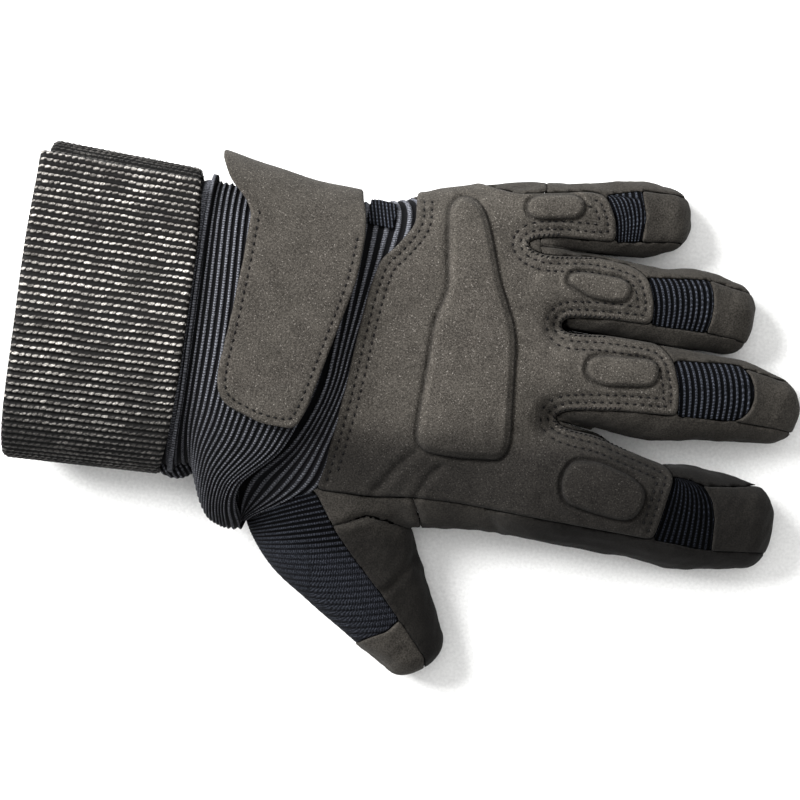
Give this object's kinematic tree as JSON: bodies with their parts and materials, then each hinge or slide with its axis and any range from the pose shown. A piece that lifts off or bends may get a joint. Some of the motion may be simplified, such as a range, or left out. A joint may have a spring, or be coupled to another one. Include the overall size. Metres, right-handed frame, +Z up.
{
  "type": "tactical glove",
  "caption": "Left-hand tactical glove in suede and ribbed knit with a knuckle guard and a webbing wrist band, lying palm down",
  "frame": {"origin": "the middle of the glove's footprint, on the surface that it lies on", "axes": "+X from the cuff to the fingertips, +Y to the little finger, +Z up from the surface"},
  "size_m": [0.2458, 0.166, 0.05],
  "materials": {
    "suede": "matte",
    "ribbed_knit": "matte",
    "webbing": "satin"
  },
  "bodies": {
    "root": {"palm_panel": "suede", "back_panel": "suede", "thumb_underside": "suede", "thumb_tip": "suede", "closure_tab": "suede", "hand_guard": "suede", "index_underside": "suede", "middle_underside": "suede", "ring_underside": "suede", "little_underside": "suede", "index_tip": "suede", "middle_tip": "suede", "ring_tip": "suede", "little_tip": "suede", "index_pad": "suede", "middle_pad": "suede", "ring_pad": "suede", "little_pad": "suede", "wrist_sleeve": "ribbed_knit", "wrist_gather": "ribbed_knit", "thumb_back_knit": "ribbed_knit", "index_knuckle_rib": "ribbed_knit", "middle_knuckle_rib": "ribbed_knit", "ring_knuckle_rib": "ribbed_knit", "little_knuckle_rib": "ribbed_knit", "cuff_band": "webbing"}
  },
  "joints": []
}
